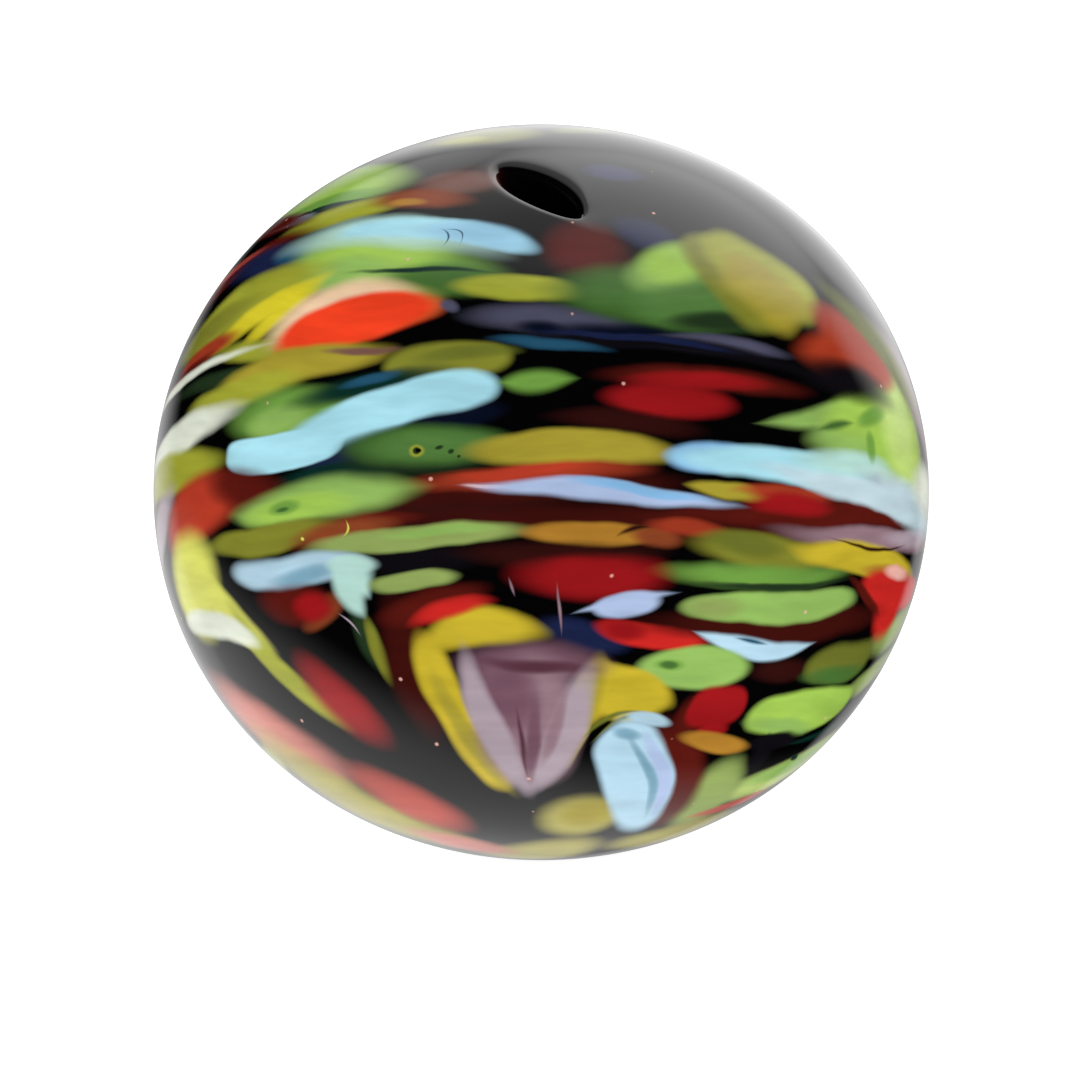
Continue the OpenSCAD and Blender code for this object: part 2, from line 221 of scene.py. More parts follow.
# Each chip: glass, one end and the other (degrees round, degrees up), width and bend in
# millimetres, edge, softness. The bend lifts its middle off the straight line.
FACE_CHIPS = [
    # Round the upper mouth, where the glass is dark
    ("maroon", (1, 41), (17, 38.5), 2.2, 0, OVAL, 0.9),
    ("umber", (-34, 58), (-9, 57), 1.8, 0, OVAL, 0.9),
    ("navy", (17, 46), (29, 41), 1.4, 0, OVAL, 0.9),
    ("indigo", (14, 61), (32, 59), 0.9, 0, OVAL, 0.9),
    ("olive", (-68, 71.5), (-4, 78), 2.5, 0, OVAL, 0.7),
    ("khaki", (-60, 72), (-36, 74.6), 0.9, 0, OVAL, 1.0),
    ("moss", (15, 80), (70, 79), 1.0, 0, OVAL, 0.9),
    # Over the top, behind the upper mouth
    ("wine", (104, 72), (156, 76), 1.5, 0, OVAL, 0.8),
    ("teal", (176, 75), (222, 71), 1.3, 0, OVAL, 0.8),
    ("sage", (232, 74), (270, 70), 1.3, 0, OVAL, 0.8),
    ("brick", (140, 82), (212, 81), 1.2, 0, OVAL, 0.8),
    ("mauve", (236, 82), (290, 80), 1.1, 0, OVAL, 0.9),
    ("ochre", (84, 79), (124, 82), 1.0, 0, OVAL, 0.9),
    # The upper left
    ("lime", (-112, 36), (-45, 57), 3.0, 0, OVAL, 0.45),
    ("leaf", (-76, 47), (-48, 54), 0.8, 0, OVAL, 0.9),
    ("pine", (-72, 46.5), (-50, 52), 0.26, 0, OVAL, 0.9),
    ("khaki", (-66, 43.4), (-36, 51.6), 1.1, 0, OVAL, 0.7),
    ("tan", (-36, 56), (-14, 57), 1.3, 0, OVAL, 1.0),
    ("sienna", (-46, 51.6), (-20, 52), 1.0, 0, OVAL, 0.9),
    ("gold", (-40, 51.2), (-30, 51.4), 0.4, 0, OVAL, 1.0),
    ("maroon", (-106, 36), (-64, 46.4), 1.2, 0, OVAL, 0.6),
    ("maroon", (-92, 22), (-60, 44), 1.0, 0, OVAL, 0.7),
    ("navy", (-76, 35), (-46, 38), 1.5, 0, OVAL, 0.8),
    ("teal", (-62, 38), (-50, 39), 0.8, 0, OVAL, 0.9),
    ("leaf", (-52, 35), (-10, 34.5), 2.0, 0, OVAL, 0.9),
    ("lime", (-53, 38.6), (-20, 40), 2.3, 0, OVAL, 0.8),
    ("spring", (-50, 34), (-26, 35), 1.4, 0, OVAL, 0.9),
    ("green", (-30, 34), (-9, 33.5), 1.2, 0, OVAL, 0.9),
    ("pine", (-36, 35.4), (-12, 36), 0.2, 0, OVAL, 1.0),
    ("mint", (-57, 41), (-12, 41.4), 1.4, 0.2, OVAL, 1.0),
    ("sky", (-48, 43.4), (-2.5, 40.8), 0.95, 0.16, BLUNT, 0.7),
    ("azure", (-26, 44.7), (-3, 41.2), 1.0, 0.1, OVAL, 0.9),
    ("khaki", (-78, 21), (-46, 35.5), 1.9, 0, OVAL, 0.6),
    ("olive", (-80, 20), (-60, 29), 1.1, 0, OVAL, 0.9),
    ("yellow", (-65, 21.4), (-44, 34), 0.85, -0.1, OVAL, 0.7),
    ("yellow", (-56, 22), (-44, 32), 0.7, 0, OVAL, 0.8),
    ("khaki", (-62, 20.6), (-40, 21.2), 0.7, 0, OVAL, 0.9),
    ("dun", (-50, 22.6), (-19, 29.6), 2.0, 0.2, OVAL, 0.5),
    ("blush", (-49, 24), (-24, 31.4), 1.7, 0.22, OVAL, 0.7),
    ("flame", (-47.4, 22), (-18, 28.8), 1.85, 0.18, OVAL, 0.3),
    ("slate", (-17.6, 29.6), (-14.6, 28.4), 0.4, 0, OVAL, 1.0),
    ("salmon", (-94, 27), (-73, 39), 0.5, 0, OVAL, 1.0),
    ("rust", (-76, 18), (-60, 23.5), 0.7, 0, OVAL, 0.7),
    ("maroon", (-84, 12), (-66, 20.5), 0.5, 0, OVAL, 0.7),
    ("white", (-92, 8.6), (-54, 21.6), 0.36, 0.06, LEAF, 0.8),
    ("forest", (-72, 14), (-44, 18.6), 0.6, 0, OVAL, 0.9),
    ("ochre", (-58, 15.5), (-26, 21.3), 1.15, 0, OVAL, 0.5),
    ("tan", (-36, 21.4), (-24, 21.6), 0.26, 0, OVAL, 1.0),
    ("olive", (-25.6, 18.7), (-5, 20.4), 1.1, 0, BLUNT, 0.5),
    ("moss", (-20, 19.8), (-5, 21.6), 0.5, 0, OVAL, 0.9),
    ("khaki", (-16, 33), (7, 31.6), 1.05, 0, OVAL, 0.5),
    # The left, down to the long sky-blue streak
    ("khaki", (-66, 11.4), (-41, 16.8), 0.95, 0, OVAL, 0.6),
    ("leaf", (-52.5, 10.2), (-28, 12.6), 1.5, 0, OVAL, 0.8),
    ("spring", (-49, 9.6), (-37, 11), 0.9, 0, OVAL, 0.9),
    ("pine", (-40, 13), (-16, 17.8), 0.8, 0, OVAL, 0.9),
    ("teal", (-32, 15.8), (-23, 17.8), 0.36, 0, OVAL, 0.9),
    ("navy", (-36, 3.6), (-26, 6.4), 0.9, 0, OVAL, 0.8),
    ("ink", (-20, 9), (-6, 12.6), 0.8, 0, OVAL, 0.9),
    ("pine", (-40, 1.6), (-22, 3), 0.6, 0, OVAL, 0.9),
    ("sky", (-53.4, 4.9), (-30, 7.4), 1.15, -0.12, BLOCK, 0.3),
    ("sky", (-42, 5.8), (-14, 14.6), 1.4, -0.02, LEAF, 0.4),
    ("sky", (-34, 9.2), (-6.6, 16.2), 1.35, 0.05, BLUNT, 0.35),
    ("white", (-92, -1.4), (-54, 12), 1.25, 0.02, OVAL, 0.5),
    ("khaki", (-88, -0.5), (-55, 4.2), 1.3, 0, OVAL, 0.5),
    ("forest", (-30, 5), (-6, 6.6), 1.35, 0, OVAL, 0.7),
    ("green", (-28.4, 5.8), (-5, 7.4), 1.15, 0, OVAL, 0.7),
    ("fern", (-24, 6), (-8, 7.4), 0.8, 0, OVAL, 1.0),
    ("leaf", (-6.4, 16.6), (5.4, 16.9), 0.66, 0, LENS, 0.6),
    # The middle band
    ("umber", (-32, -3.8), (4, -0.4), 1.6, 0, OVAL, 0.8),
    ("wine", (-20, -0.4), (18, 1.2), 0.9, 0, OVAL, 0.9),
    ("wine", (-14, -4), (70, -4), 1.1, 0.1, OVAL, 0.8),
    ("maroon", (-32, -4.4), (-18, -3.4), 0.4, 0, OVAL, 0.9),
    ("maroon", (20, -3.6), (68, -4), 0.55, 0.1, OVAL, 0.8),
    ("rust", (-17, 1.2), (13, 3), 0.75, 0, OVAL, 0.8),
    ("brick", (-12, 2.2), (6, 3), 0.35, 0, OVAL, 0.9),
    ("ochre", (-10.5, 6.2), (19, 5.5), 1.12, 0.04, OVAL, 0.45),
    ("rose", (-11, 0.8), (-4, 0.6), 0.12, 0, OVAL, 0.9),
    ("lilac", (-9, 0.7), (28, -2), 0.6, 0.06, LEAF, 0.5),
    ("blue", (5, 1), (24, -1.2), 0.3, 0, OVAL, 0.9),
    ("petal", (-90, -14), (-70, -1), 1.2, 0, OVAL, 0.8),
    ("brick", (-72, -7.6), (-50, -0.6), 1.9, 0.3, OVAL, 0.6),
    ("maroon", (-57, 0.4), (-41, 0.2), 1.2, 0, OVAL, 1.0),
    ("spring", (-49, -3.6), (-18.6, 0.6), 1.2, 0.06, LEAF, 0.6),
    ("lime", (-47, -3.8), (-29, -1.6), 0.8, 0, OVAL, 0.9),
    ("leaf", (-42.6, -2.9), (-37.6, -2.2), 0.42, 0, OVAL, 0.9),
    ("green", (-41.4, -3), (-39.4, -2.7), 0.14, 0, OVAL, 1.0),
    ("olive", (-57, -8.6), (-32, -5.4), 0.85, 0, OVAL, 0.5),
    ("sienna", (-38.5, -7.8), (-22, -4.6), 0.7, 0, OVAL, 0.9),
    ("soot", (-27, -10.6), (-9, -9.8), 0.8, 0, OVAL, 0.9),
    ("sage", (-35.5, -8.8), (-2.6, -5.7), 0.78, 0.16, OVAL, 0.45),
    ("spring", (-22, -6.4), (-7, -5.4), 0.3, 0.05, OVAL, 1.0),
    ("gold", (-2.3, -6), (17, -6.4), 0.68, 0.02, OVAL, 0.45),
    ("sienna", (13, -6), (20.5, -7.4), 0.6, 0, OVAL, 0.8),
    ("rust", (16, -4.8), (27, -6), 0.5, 0, OVAL, 0.9),
    ("umber", (11, -6.2), (15.6, -5.2), 0.16, 0.08, LENS, 0.9),
    ("olive", (23.3, -7.6), (46, -9.2), 1.0, 0, OVAL, 0.6),
    ("moss", (25, -6.8), (37, -8), 0.7, 0, OVAL, 0.9),
    ("leaf", (20, -11.6), (49.6, -11.7), 0.7, 0, OVAL, 1.0),
    ("ochre", (21.8, 1), (35.5, -1), 0.52, 0, LEAF, 0.5),
    ("rust", (30, 0.3), (47, -1), 0.45, 0, OVAL, 0.8),
    ("maroon", (42, -1.8), (69, -4.8), 0.62, 0, OVAL, 0.9),
    ("red", (31.5, -1.6), (46.5, -2.2), 0.66, 0, OVAL, 0.8),
    ("mauve", (39, -5.6), (84, -7.6), 0.62, 0, OVAL, 0.7),
    ("petal", (62, -7), (82, -6.6), 0.5, 0, OVAL, 0.9),
    ("mustard", (40.5, -8), (74, -12), 1.0, 0.04, OVAL, 0.4),
    ("gold", (56, -11.6), (70, -12.2), 0.5, 0, OVAL, 0.8),
    ("umber", (48, -6.8), (67.5, -8), 0.11, -0.22, LENS, 0.8),
    # The right, above and below the middle band
    ("blue", (18.4, 5), (32, 4.8), 0.9, 0, OVAL, 0.5),
    ("sky", (20.5, 5), (56, 1), 0.98, 0.06, OVAL, 0.5),
    ("pale", (36, 3), (86, -5.4), 0.78, -0.06, OVAL, 0.55),
    ("mauve", (73, 24), (87, 3), 1.8, 0, OVAL, 0.9),
    ("spring", (35.5, 9.6), (64, 14.8), 0.7, -0.3, LENS, 0.5),
    ("spring", (44, 7), (66, 8), 2.0, 0, LEAF, 0.6),
    ("lime", (47, 9.8), (67, 11.6), 1.5, 0, LEAF, 0.7),
    ("lime", (60.5, 16.4), (62.5, 1.6), 2.2, 0, OVAL, 0.6),
    ("mint", (42, 4.2), (62, 2.8), 0.7, 0, OVAL, 1.0),
    ("melon", (66.4, 16.8), (72, -1), 3.0, 0, OVAL, 0.6),
    ("pale", (56, 1), (85, -5), 1.3, 0, OVAL, 0.9),
    ("white", (72, 1), (90, -2), 1.5, 0, OVAL, 1.0),
    ("leaf", (55, 9.6), (63, 11), 0.5, 0, OVAL, 1.0),
    ("green", (45.8, 8.5), (53, 9.5), 0.28, 0.05, LENS, 0.9),
    ("leaf", (57.6, 8), (57.6, 3.8), 0.5, 0, OVAL, 1.0),
    ("sage", (66, -23), (84, -18), 1.2, 0, OVAL, 0.9),
    ("scarlet", (56, -13.6), (81, -14.8), 1.1, 0, BLUNT, 0.5),
    ("scarlet", (64, -13), (71, -20.5), 2.2, 0, OVAL, 0.6),
    ("maroon", (53, -13.2), (63, -18), 0.35, 0, OVAL, 0.9),
    ("rose", (62.5, -11.6), (72, -12.4), 0.42, 0, OVAL, 0.9),
    ("umber", (-10, -9.2), (16, -9), 0.8, 0, OVAL, 0.9),
    ("red", (-3, -12.2), (18, -12.2), 1.3, 0, OVAL, 0.8),
    ("red", (1, -10.6), (13, -11), 0.6, 0, OVAL, 0.9),
    ("lilac", (5.5, -17.5), (19.6, -14.5), 0.28, 0.1, LENS, 0.7),
    ("lilac", (7.8, -17.1), (18, -15.4), 0.8, 0, OVAL, 0.4),
    ("navy", (0, -19.6), (13, -22.6), 0.9, 0, OVAL, 0.8),
    ("scarlet", (8.5, -19.6), (25.8, -22.4), 0.85, 0, OVAL, 0.45),
    ("red", (9, -19.6), (16, -20.6), 0.6, 0, OVAL, 0.9),
    ("wine", (17, -18.8), (62, -18.4), 1.1, 0, OVAL, 0.7),
    ("spring", (21.5, -16.7), (54.5, -16.2), 0.98, 0.1, BLUNT, 0.4),
    ("sage", (22, -16.6), (31, -16.9), 0.7, 0, OVAL, 0.9),
    ("forest", (24, -13.2), (50, -13.2), 0.24, 0, OVAL, 0.9),
    ("ice", (24.5, -21), (47, -22.4), 0.72, -0.22, LENS, 0.3),
    ("teal", (31.5, -21.6), (37, -22), 0.14, 0, LENS, 0.9),
    ("spring", (15.3, -26.5), (34.8, -26.2), 1.4, 0.06, OVAL, 0.3),
    ("leaf", (18, -26), (22.8, -26.1), 0.36, 0, OVAL, 0.9),
    ("green", (18.8, -26), (21.8, -26.1), 0.26, 0, OVAL, 0.9),
    ("umber", (36, -26.5), (48, -26.5), 0.8, 0, OVAL, 0.9),
    ("moss", (48, -26.2), (66.6, -24.4), 1.15, 0, BLUNT, 0.6),
    ("green", (49, -27.8), (65, -26.6), 0.6, 0, OVAL, 1.0),
    ("sage", (64, -31), (84, -24), 1.0, 0, OVAL, 0.8),
    ("maroon", (24, -33.5), (30, -34), 1.3, 0, OVAL, 0.9),
    ("red", (25.5, -32.8), (37, -32.6), 1.4, 0.1, BLUNT, 0.4),
    ("red", (29, -36.5), (35, -36.6), 0.6, 0, OVAL, 0.7),
    ("lime", (38.5, -34.6), (68, -32), 1.6, 0.1, BLUNT, 0.35),
    ("spring", (40, -35.8), (58, -36.8), 0.6, 0, OVAL, 0.9),
    ("pear", (48, -51), (80, -40), 1.8, 0, OVAL, 0.7),
    ("spring", (52, -48), (76, -41), 1.0, 0, OVAL, 0.9),
    ("pine", (54, -39.6), (78, -35), 0.26, 0, LENS, 0.9),
    ("sage", (39.5, -43), (48, -60), 2.1, 0, OVAL, 0.6),
    ("dun", (30, -67), (66, -58), 2.0, 0, OVAL, 0.9),
    ("salmon", (46, -57), (68, -51), 0.6, 0, OVAL, 0.9),
    ("soot", (42, -40), (56, -38.4), 0.7, 0, OVAL, 0.6),
    ("soot", (46, -38), (50.5, -46), 0.8, 0, LENS, 0.5),
    ("pine", (60.5, -42.4), (64, -43.4), 0.28, 0, OVAL, 0.8),
    # The lower middle: the mauve wedge in its yellow fork, and the sky-blue drop beside it
    ("dun", (-28, -74), (18, -65), 2.3, 0, OVAL, 0.8),
    ("dun", (4, -61), (15, -51), 2.3, 0, OVAL, 0.8),
    ("ochre", (8, -58), (15, -51.6), 1.5, 0, OVAL, 1.0),
    ("maroon", (22, -35.2), (37, -59), 2.1, 0.15, OVAL, 0.5),
    ("gold", (26.6, -37.3), (42, -40.6), 0.74, 0.02, OVAL, 0.5),
    ("forest", (-28.8, -17.5), (-26, -26), 0.75, 0, OVAL, 0.8),
    ("olive", (-27, -19), (-25.3, -28), 0.45, 0, OVAL, 0.9),
    ("wine", (-22, -16), (-20, -37), 1.5, 0, OVAL, 0.8),
    ("maroon", (-24, -18.6), (-9, -14.6), 0.8, 0, OVAL, 0.9),
    ("mustard", (-19, -22.6), (-0.5, -20.4), 1.1, 0.46, OVAL, 0.6),
    ("mustard", (-19, -21), (-8, -48.4), 1.2, 0, BLUNT, 0.5),
    ("ochre", (-17, -28), (-7.5, -48), 0.6, 0, OVAL, 0.9),
    ("scarlet", (-19.5, -19), (-8, -16), 0.5, 0.1, OVAL, 0.9),
    ("mustard", (8.5, -26), (22, -31.8), 0.9, 0.05, OVAL, 0.5),
    ("mustard", (9.4, -25), (8, -35), 1.1, 0, OVAL, 0.5),
    ("mustard", (8.5, -31.5), (21, -31.8), 1.2, 0, OVAL, 0.5),
    ("ochre", (8.8, -25), (6.8, -36), 0.8, 0, OVAL, 1.0),
    ("ochre", (8, -33), (4.4, -43), 0.45, 0, OVAL, 0.7),
    ("plum", (-12, -24.8), (9, -25.8), 1.3, 0.1, OVAL, 0.9),
    ("mauve", (-2.2, -24), (-2.6, -47), 3.0, 0, OVAL, 0.5),
    ("plum", (-6, -24), (-4, -36), 1.6, 0, OVAL, 0.9),
    ("aubergine", (-8, -24.6), (7, -26.4), 0.4, 0, OVAL, 1.0),
    ("petal", (-12, -24), (-3.8, -48.6), 0.95, 0, OVAL, 0.6),
    ("petal", (7.4, -27), (-2.6, -48.6), 1.1, 0.1, OVAL, 0.6),
    ("mauve", (4, -30), (0, -42), 0.4, 0, OVAL, 1.0),
    ("plum", (-1, -31), (-2.6, -46), 0.4, 0, OVAL, 0.9),
    ("aubergine", (-4, -33), (-3, -45), 0.14, 0, LENS, 0.9),
    ("moss", (7.5, -37.5), (17.5, -33), 0.16, 0.3, LENS, 0.8),
    ("moss", (9.5, -38), (20, -33.6), 0.12, 0.36, LENS, 0.8),
    ("frost", (15.4, -33.7), (23.2, -35), 0.42, 0.06, OVAL, 0.6),
    ("ice", (15, -35), (30.4, -60.4), 2.05, 0.1, OVAL, 0.35),
    ("ice", (14.6, -35), (24, -52), 2.2, 0, BLUNT, 0.3),
    ("lilac", (20, -37.4), (31, -55), 0.5, 0.22, OVAL, 0.7),
    ("steel", (13, -36.4), (18.6, -37.4), 0.42, 0, OVAL, 1.0),
    ("steel", (17, -38), (28, -54), 0.3, 0.22, OVAL, 1.0),
    # The left, below the middle band
    ("frost", (-51.6, -12.2), (-26, -11), 0.9, 0.05, BLUNT, 0.6),
    ("steel", (-43, -12.8), (-32, -12), 0.5, 0, OVAL, 1.0),
    ("mint", (-33, -11.4), (-24.6, -10.8), 0.6, 0, OVAL, 0.7),
    ("sienna", (-38.5, -19.4), (-31, -16), 0.7, 0, OVAL, 0.9),
    ("maroon", (-46, -15.8), (-33, -16.8), 1.15, 0, OVAL, 0.8),
    ("red", (-40, -16.6), (-33, -17), 0.8, 0, OVAL, 0.9),
    ("mint", (-31.6, -11.4), (-27.6, -18), 0.85, 0, LEAF, 0.6),
    ("mint", (-29.6, -11.2), (-26, -15.4), 1.1, 0, LENS, 0.6),
    ("sage", (-25.4, -14), (-12.5, -12.6), 0.6, 0, OVAL, 0.5),
    ("straw", (-69.5, -8.6), (-60, -20), 3.5, 0, OVAL, 0.6),
    ("straw", (-62, -12), (-47.5, -23), 1.2, -0.15, OVAL, 0.6),
    ("khaki", (-53.5, -18), (-38, -35.6), 0.9, 0, OVAL, 0.7),
    ("white", (-73, -20.2), (-49.6, -22), 0.85, 0.3, BLUNT, 0.7),
    ("red", (-41, -25), (-31, -38.5), 1.45, 0, OVAL, 1.0),
    ("blossom", (-74, -31), (-46, -45), 2.4, 0.1, OVAL, 1.0),
    ("dun", (-66, -40), (-30, -66), 3.0, 0, OVAL, 0.8),
    ("salmon", (-41, -45.5), (-23, -59), 1.8, 0.1, OVAL, 1.0),
    ("blossom", (-44, -62), (-14, -70), 1.7, 0, OVAL, 1.0),
    # The upper right
    ("green", (3, 32), (40, 27.6), 2.2, 0, OVAL, 0.7),
    ("spring", (17, 34.4), (35, 36.6), 1.5, 0, OVAL, 0.9),
    ("fern", (17, 29), (36, 29), 1.8, 0, OVAL, 1.0),
    ("lime", (20, 36), (34, 38.6), 1.5, 0, OVAL, 0.9),
    ("forest", (22, 26.4), (38, 25.6), 0.7, 0, OVAL, 0.9),
    ("olive", (34, 43), (40.5, 24.8), 2.2, 0, BLUNT, 0.6),
    ("khaki", (36, 41.6), (54, 27.5), 2.2, 0, BLUNT, 0.7),
    ("ochre", (38, 37), (47, 25.5), 2.0, 0, BLUNT, 0.9),
    ("ochre", (39, 38), (51, 27.4), 1.3, 0, OVAL, 1.0),
    ("ember", (45.5, 21.4), (70, 17), 1.7, 0, OVAL, 0.6),
    ("ember", (53, 27.4), (69, 16.5), 2.0, 0, OVAL, 0.6),
    ("moss", (62, 31), (80, 12), 1.4, 0, OVAL, 0.9),
    ("soot", (44, 18.6), (66, 13.4), 1.3, 0, OVAL, 0.9),
    ("slate", (-11, 27.4), (14, 25.4), 0.95, 0, OVAL, 1.0),
    ("ink", (-4, 25.6), (4, 25.4), 0.5, 0, OVAL, 1.0),
    ("ink", (2, 25), (24, 23), 0.8, 0, OVAL, 0.9),
    ("slate", (18, 23.2), (41, 21), 0.6, 0, OVAL, 0.8),
    ("soot", (-4, 23.6), (44, 18.2), 0.5, 0, OVAL, 0.9),
    ("teal", (-7, 23.4), (10, 22), 0.4, 0, OVAL, 0.9),
    ("navy", (2, 25), (30, 21.4), 0.25, 0, OVAL, 0.9),
    ("maroon", (12, 17.4), (42, 15), 0.8, 0, OVAL, 0.9),
    ("red", (15, 16.6), (36, 15.9), 0.6, 0, OVAL, 0.9),
    ("red", (10.4, 13.8), (29.4, 12.3), 1.1, 0, OVAL, 0.6),
    ("umber", (3, 11), (23, 8.8), 0.7, 0, OVAL, 0.9),
    # Bubbles, hairs of glass and scratches
    ("khaki", (-19.5, 5.7), (-17.5, 5.8), 0.34, 0, OVAL, 0.9),
    ("forest", (-19.1, 5.7), (-17.9, 5.8), 0.22, 0, OVAL, 0.6),
    ("black", (-18.7, 5.8), (-17.8, 5.8), 0.12, 0, OVAL, 0.6),
    ("forest", (-15.8, 6.4), (-14.6, 6.8), 0.12, 0, OVAL, 0.9),
    ("forest", (-13.8, 6), (-12.9, 6.3), 0.14, 0, OVAL, 0.9),
    ("forest", (-12.3, 5.4), (-11.8, 5.5), 0.1, 0, OVAL, 0.9),
    ("teal", (-22.4, 44.8), (-20.4, 41.2), 0.06, 0.16, LENS, 0.9),
    ("teal", (-22, 44.6), (-17.4, 41.6), 0.05, 0.3, LENS, 0.9),
    ("mauve", (2, -13.6), (2.6, -20.6), 0.08, 0, LENS, 1.0),
    ("mauve", (-4.6, -12.8), (-4, -15.2), 0.06, 0, LENS, 1.0),
    ("petal", (-31.6, -18.2), (-28.8, -20.8), 0.06, 0.06, LENS, 1.0),
    ("straw", (-29.4, -4.6), (-29.8, -6.8), 0.07, 0.1, LENS, 0.9),
    ("straw", (-37.6, -7.4), (-37, -7.6), 0.1, 0, OVAL, 0.9),
]
# The ball's colour is laid in patches, each with only the chips that reach it. Their middles
# lie evenly on the ball, one golden turn after another on the way from its top to its bottom.
PATCH_COUNT = 60
GOLDEN_TURN = pi * (3 - sqrt(5))
PATCH_MARGIN = 0.05
REACH_STEPS = 24
# The flame pushes the chips about: how fine each push is, and how far it reaches
WAVERS = ((3.5, 0.045), (12, 0.008))
# The glass is streaked: how far each streak is stretched, and its darkest and lightest
STREAKS = (((3, 3, 12), 0.86, 1.1), ((9, 9, 50), 0.95, 1.04))
# Pale dust: how close the specks could stand, how large and strong they are, and the share
# left out
DUST_SCALE = 9
DUST_EDGE = (0.03, 0.06)
DUST_COVER = 0.75
DUST_LEFT_OUT = 0.5


def glass_colour(name):
    """A glass colour as the shader's linear light."""
    linear = []
    for part in GLASS[name]:
        share = part / 255
        linear.append(share / 12.92 if share < 0.04045 else ((share + 0.055) / 1.055) ** 2.4)
    return (*linear, 1)


def toward(place):
    """The way from the bead's middle to a place on its face."""
    around, up = radians(place[0]), radians(place[1])
    return Vector((cos(up) * sin(around), -cos(up) * cos(around), sin(up)))


# Rows of streaks cross the back, in glasses that follow one another. Every other row is the
# part's own and lies on top, with a core of another glass in each of its streaks. The softer
# ones fill the rows between them and the gaps in each row.
BACK_GLASS = ("lime", "red", "sky", "ochre", "green", "rust", "lilac", "yellow", "maroon", "olive")
BETWEEN_GLASS = (
    "maroon", "sage", "teal", "mustard", "wine", "spring", "mauve", "leaf", "brick", "ice", "khaki",
)
BACK_WIDE = (1.1, 0.8, 1.4, 0.9)
BACK_SPAN = (44, 30, 36, 24, 40)
BACK_LEAN = (4, -5, 7, 0, -3)
BACK_SIDE = 92
BACK_TOP = 66
BACK_ROWS = 13
FOOT_CLEAR = 2.6


def in_turn(values, number):
    return values[number % len(values)]


def back_chips():
    """The streaks of the back, the softer ones first, so that the part's own lie on them."""
    ball = HALF_WIDE / MM
    foot = toward((180, -56))
    soft, own = [], []
    for row in range(BACK_ROWS):
        parts_own = row % 2 == 0
        places = 3 if parts_own else 6
        room = (360 - 2 * BACK_SIDE) / places
        up = BACK_TOP * (1 - 2 * row / (BACK_ROWS - 1))
        for place in range(places):
            number = row // 2 * places + place
            shift = (0.15 if row // 2 % 2 else -0.15) if parts_own else 0.3 * sin(2.4 * number)
            around = BACK_SIDE + room * (place + 0.5 + shift)
            half = in_turn(BACK_SPAN, number) / 2
            lean = in_turn(BACK_LEAN, number) / 2
            wide = in_turn(BACK_WIDE, number)
            if ball * (toward((around, up)) - foot).length - wide / 2 < FOOT_CLEAR:
                continue
            ends = (around - half, up - lean), (around + half, up + lean)
            if parts_own:
                own.append((in_turn(BACK_GLASS, number), *ends, 1.25 * wide, 0.1, OVAL, 0.5))
                core = (around - half / 3, up - lean / 3), (around + half / 2, up + lean / 2)
                own.append((in_turn(BACK_GLASS, number + 3), *core, 0.4 * wide, 0.1, OVAL, 1.0))
                beside = (around + 0.2 * room, up - 3), (around + 0.8 * room, up + 3)
                glass = in_turn(BETWEEN_GLASS, number + 4)
                soft.append((glass, *beside, 1.3 * wide, -0.1, OVAL, 0.7))
            else:
                glass = in_turn(BETWEEN_GLASS, 5 * number)
                soft.append((glass, *ends, 1.4 * wide, -0.15, OVAL, 0.7))
    return soft + own


CHIPS = back_chips() + FACE_CHIPS


def patch_middle(number):
    """The way from the ball's middle to the middle of one of its patches."""
    height = 1 - (2 * number + 1) / PATCH_COUNT
    out = sqrt(1 - height ** 2)
    return Vector((out * cos(GOLDEN_TURN * number), out * sin(GOLDEN_TURN * number), height))


PATCHES = [patch_middle(number) for number in range(PATCH_COUNT)]


def link(tree, output, target):
    tree.links.new(output, target)


def math_node(tree, operation, first, second=None, third=None):
    node = tree.nodes.new("ShaderNodeMath")
    node.operation = operation
    for socket, value in zip(node.inputs, (first, second, third)):
        if value is None:
            continue
        if isinstance(value, (int, float)):
            socket.default_value = value
        else:
            link(tree, value, socket)
    return node.outputs[0]


